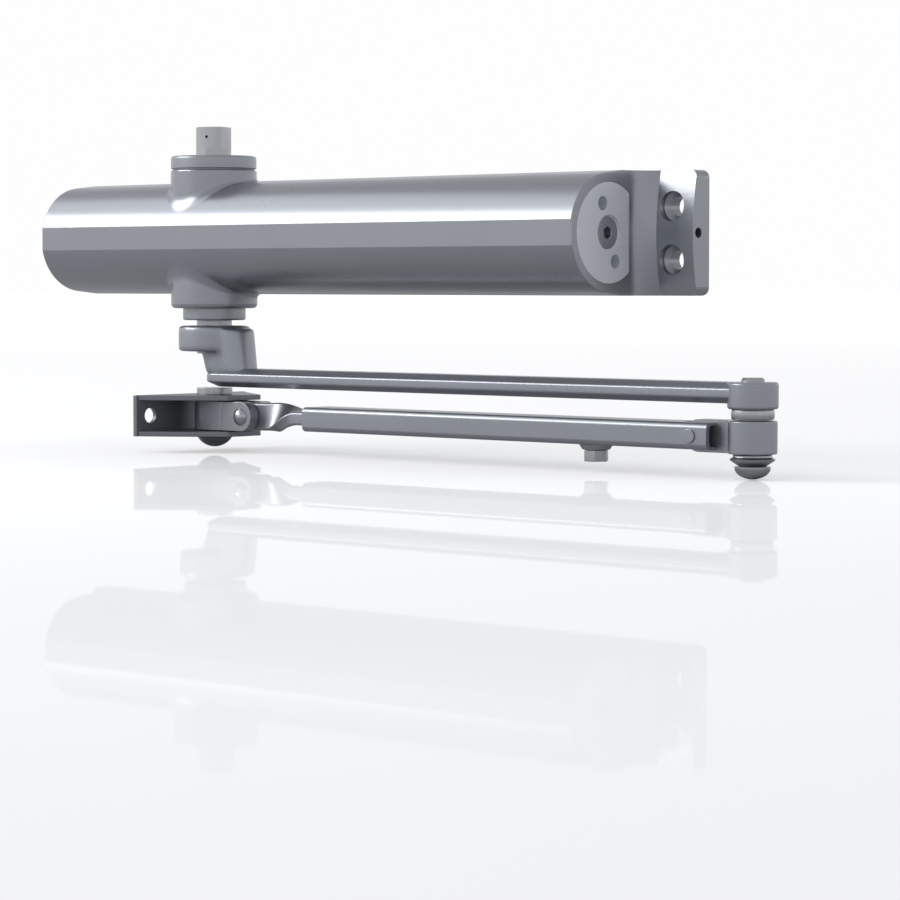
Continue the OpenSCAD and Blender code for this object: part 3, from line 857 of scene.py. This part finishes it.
@dataclass
class Elbow:
    """The pinned elbow between the two arms."""

    x: float = 266.0
    z: float = -70.5

    def build(self) -> None:
        """Builds the pin, spacer, dished washer and knuckle."""
        at = (self.x, 0, 0)
        turns = [math.radians(a) for a in range(8, 90, 8)]
        head = [(6.2 * math.cos(a), -81.0 - 3.9 * math.sin(a)) for a in turns]
        shank = [(0, -50.1), (3.4, -50.1), (4.0, -50.7), (4.0, -80.5), (6.2, -80.5), (6.2, -81.0)]
        pin = Solid.turned(shank + head + [(0, -84.9)], at=at, steps=64)
        Piece("elbow_pin_headed", "elbow_pin", "spindle_unit", ZINC, 40).made_of(pin)
        belly = [(7.5 * math.cos(math.radians(a)), 7.5 * math.sin(math.radians(a)))
                 for a in (-13.8, -9, -4.5, 0, 4.5, 9, 13.8)]
        spacer = Solid.turned(
            [(4.0, -1.8)] + belly + [(4.0, 1.8)], at=(self.x, 0, -62.6), steps=80)
        Piece("elbow_spacer_turned", "elbow_spacer", "spindle_unit", ZINC).made_of(
            spacer.softened(0.25, 2, 40))
        dish = Solid.turned([(4.0, -76.5), (6.75, -76.5), (6.75, -77.3), (7.95, -78.0),
                             (7.6, -78.5), (4.6, -80.5), (4.0, -80.5)], at=at, steps=80)
        Piece("elbow_dish_turned", "elbow_dish", "spindle_unit", ZINC).made_of(
            dish.softened(0.22, 2, 25, lambda p: (p.xy - Vector((self.x, 0))).length > 5))
        knuckle = Solid.rod(8.5, -5.7, 5.7, at=(self.x, 0, self.z), steps=96).softened(0.5, 3)
        half = 5.7 - CLEAR
        outline = arc((0, 244.7), half, 180, 360, 32) + [(half, self.x), (-half, self.x)]
        knuckle.joined(Join.ADD, Solid.extruded(outline, (-2.6, 2.6), Axis.Y, (0, 0, self.z)))
        knuckle.softened(0.35, 2, 50, lambda p: p.x < self.x - 8.8)
        knuckle.joined(Join.CUT, Solid.rod(5.2, -6.5, 6.5, at=(self.x, 0, self.z), steps=64),
                       Solid.rod(2.55, -4, 4, Axis.Y, (244.7, 0, self.z), 32))
        Piece("elbow_knuckle_forged", "elbow_knuckle", "elbow_unit", ARM_PAINT).made_of(knuckle)


@dataclass
class Forearm:
    """The adjustable forearm: square tube and twisted rod."""

    z: float = -70.5
    tube: Point = (57.0, 252.1)
    twist: Point = (30.0, 50.0)
    rod_end: float = 232.1
    pin_x: float = 22.2

    def build(self) -> None:
        """Builds the tube and the rod."""
        at = (0, 0, self.z)
        tube = Solid.extruded(rounded_box(16, 9.4, 2.0, 8), self.tube, Axis.X, at)
        tube.joined(
            Join.CUT,
            Solid.extruded(rounded_box(12.4, 5.8, 0.8, 3),
                           (self.tube[0] - 1, self.tube[1] + 1), Axis.X, at),
            Solid.box((237.4, -2.9, self.z - 10), (260, 2.9, self.z + 10)),
            Solid.extruded(rounded_box(11.8, 7.4, 0.8, 3), (239.0, 253.0), Axis.X, at),
            Solid.rod(2.5, -12, 12, Axis.Y, (244.7, 0, self.z), 40),
            Solid.rod(2.5, self.z - 8, self.z, at=(197, 0, 0), steps=40),
        )
        Piece("forearm_tube_drawn", "forearm_tube", "forearm_unit", ARM_PAINT, 20).made_of(
            tube.softened(0.3, 2, 50))
        low, high = self.twist

        def turn(x: float) -> float:
            """Turn of the rod's section at a place along it."""
            t = min(max((high - x) / (high - low), 0.0), 1.0)
            return 90 * t * t * (3 - 2 * t)

        turning = [low + (high - low) * n / 24 for n in range(25)]
        rows = [self.pin_x, 26.0] + turning + [60.0, self.rod_end]
        rod = Solid.extruded(rounded_box(10.8, 5.1, 0.9, 4), rows, Axis.X, at, turn)
        flat = 2.55 - CLEAR
        eye = Solid.rod(5.4, -flat, flat, Axis.Y, (self.pin_x, 0, self.z), 64).softened(0.6, 3)
        rod.joined(Join.ADD, eye)
        rod.joined(Join.CUT, Solid.rod(2.55, -4, 4, Axis.Y, (self.pin_x, 0, self.z), 32))
        Piece("adjusting_rod_twisted", "adjusting_rod", "rod_unit", ARM_PAINT).made_of(rod)


@dataclass(frozen=True)
class Refined:
    """A frame node whose shape is right, given rounded edges and a finish.

    Attributes:
        node: The node.
        body: Its body.
        finish: Its surface.
        edge: Width of the rounding, in millimetres.
        sharp: Shading angle, in degrees.
    """

    node: str
    body: str
    finish: Finish
    edge: float = 0.25
    sharp: float = 32.0

    def build(self) -> None:
        """Builds the refined copy."""
        solid = Solid.copied(self.node).softened(self.edge, 2, 38)
        piece = Piece(f"{self.node}_finished", self.node, self.body, self.finish, self.sharp)
        piece.made_of(solid)


REFINED = (
    # The plugs take the cap metal painted lighter, as a painted reflection.
    Refined("right_plug", "closer_body", FACED_ALLOY_PAINTED_REFLECTION),
    Refined("left_plug", "closer_body", FACED_ALLOY_PAINTED_REFLECTION),
    Refined("power_screw", "power_adjuster", ZINC, 0.2),
    Refined("sweep_valve", "sweep_regulator", ZINC, 0.15),
    Refined("latch_valve", "latch_regulator", ZINC, 0.15),
    Refined("pinion_spindle", "spindle_unit", ZINC, 0.3),
    Refined("arm_set_screw", "spindle_unit", SPRING, 0.15),
    Refined("tilt_rivet", "forearm_unit", ARM_PAINT, 0.3),
    Refined("clamp_screw", "clamp_unit", ZINC, 0.3),
    Refined("clamp_washer", "forearm_unit", ZINC, 0.2),
    Refined("swivel_block", "block_unit", ARM_PAINT, 0.5),
    Refined("block_rivet", "block_unit", ZINC, 0.2),
    Refined("shoe_bracket", "shoe_unit", PRESSED, 0.35),
    Refined("shoe_rivet", "shoe_unit", ZINC, 0.2),
)


@dataclass
class Studio:
    """The pale floor, the soft lights and the camera."""

    floor_z: float = -0.0851
    camera_at: Place = (0.8232, -0.8722, -0.0169)
    heading: float = 42.0
    pitch: float = 3.18
    lens: float = 122.1
    floor_glow: float = 0.17
    floor_roughness: float = 0.02
    floor_ior: float = 1.018
    floor_lit: Colour = (0.52, 0.52, 0.53, 1)
    floor_seen: Colour = (0.95, 0.95, 0.95, 1)
    horizon: Point = (0.12, 0.5)
    sky_low: Colour = (0.99, 0.99, 1.0, 1)
    sky_high: Colour = (0.57, 0.58, 0.6, 1)

    def floor(self) -> None:
        """Lays the floor."""
        mesh = bpy.data.meshes.new("floor")
        bm = bmesh.new()
        bmesh.ops.create_grid(bm, x_segments=1, y_segments=1, size=12.0)
        bmesh.ops.translate(bm, verts=bm.verts, vec=(0, 0, self.floor_z))
        bm.to_mesh(mesh)
        bm.free()
        obj = bpy.data.objects.new("floor", mesh)
        bpy.context.scene.collection.objects.link(obj)
        made = bpy.data.materials.new("PaleFloor")
        made.use_nodes = True
        shader = made.node_tree.nodes["Principled BSDF"]
        nodes, links = made.node_tree.nodes, made.node_tree.links
        seen, pale = nodes.new("ShaderNodeLightPath"), nodes.new("ShaderNodeMix")
        pale.data_type = "RGBA"
        pale.inputs[6].default_value = self.floor_lit
        pale.inputs[7].default_value = self.floor_seen
        links.new(seen.outputs["Is Camera Ray"], pale.inputs["Factor"])
        links.new(pale.outputs[2], shader.inputs["Base Color"])
        glow = nodes.new("ShaderNodeMath")
        glow.operation = "MULTIPLY"
        glow.inputs[1].default_value = self.floor_glow
        links.new(seen.outputs["Is Camera Ray"], glow.inputs[0])
        links.new(glow.outputs[0], shader.inputs["Emission Strength"])
        shader.inputs["Roughness"].default_value = self.floor_roughness
        shader.inputs["IOR"].default_value = self.floor_ior
        mesh.materials.append(made)

    def softbox(self, name: str, at: Place, size: Point, power: float) -> None:
        """Hangs a soft light that faces the closer.

        Args:
            name: Name of the light.
            at: Its place, in metres.
            size: Its width and height, in metres.
            power: Its power, in watts.
        """
        light = bpy.data.lights.new(name, "AREA")
        light.shape, light.energy = "RECTANGLE", power
        light.size, light.size_y = size
        obj = bpy.data.objects.new(name, light)
        obj.location = at
        aim = Vector((0.0, -0.02, -0.02)) - Vector(at)
        obj.rotation_euler = aim.to_track_quat("-Z", "Y").to_euler()
        bpy.context.scene.collection.objects.link(obj)

    def build(self) -> None:
        """Sets the stage."""
        self.floor()
        world = bpy.data.worlds.new("Studio")
        world.use_nodes = True
        nodes, links = world.node_tree.nodes, world.node_tree.links
        where, parts = nodes.new("ShaderNodeTexCoord"), nodes.new("ShaderNodeSeparateXYZ")
        height, tone = nodes.new("ShaderNodeMapRange"), nodes.new("ShaderNodeMix")
        height.inputs["From Min"].default_value = self.horizon[0]
        height.inputs["From Max"].default_value = self.horizon[1]
        tone.data_type = "RGBA"
        tone.inputs[6].default_value = self.sky_low
        tone.inputs[7].default_value = self.sky_high
        links.new(where.outputs["Generated"], parts.inputs[0])
        links.new(parts.outputs["Z"], height.inputs["Value"])
        links.new(height.outputs[0], tone.inputs["Factor"])
        links.new(tone.outputs[2], nodes["Background"].inputs["Color"])
        bpy.context.scene.world = world
        self.softbox("long_softbox", (-1.14, -1.06, 0.70), (1.3, 0.42), 11.0)
        self.softbox("high_softbox", (-1.14, -0.55, 1.15), (1.3, 0.6), 3.0)
        camera = bpy.data.cameras.new("camera")
        camera.sensor_width, camera.lens = 36.0, self.lens
        obj = bpy.data.objects.new("camera", camera)
        obj.location = self.camera_at
        obj.rotation_euler = (math.radians(90 - self.pitch), 0, math.radians(self.heading))
        bpy.context.scene.collection.objects.link(obj)
        bpy.context.scene.camera = obj
        bpy.context.scene.view_settings.view_transform = "Standard"


def dress_hidden() -> None:
    """Gives the frame nodes that stay their finishes."""
    for node, finish in HIDDEN.items():
        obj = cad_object(node)
        obj.data.materials.clear()
        obj.data.materials.append(finish.material())
        LOG.info("%s: finished as %s", node, finish.name)


def main() -> None:
    """Builds every piece."""
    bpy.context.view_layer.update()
    Studio().build()
    for part in (Casting(), SpindleCaps(), MainArm(), Elbow(), Forearm(), *REFINED):
        part.build()
    dress_hidden()


if __name__ == "__main__":
    logging.basicConfig(level=logging.INFO, format="%(message)s")
    FRAME.update(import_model())
    main()
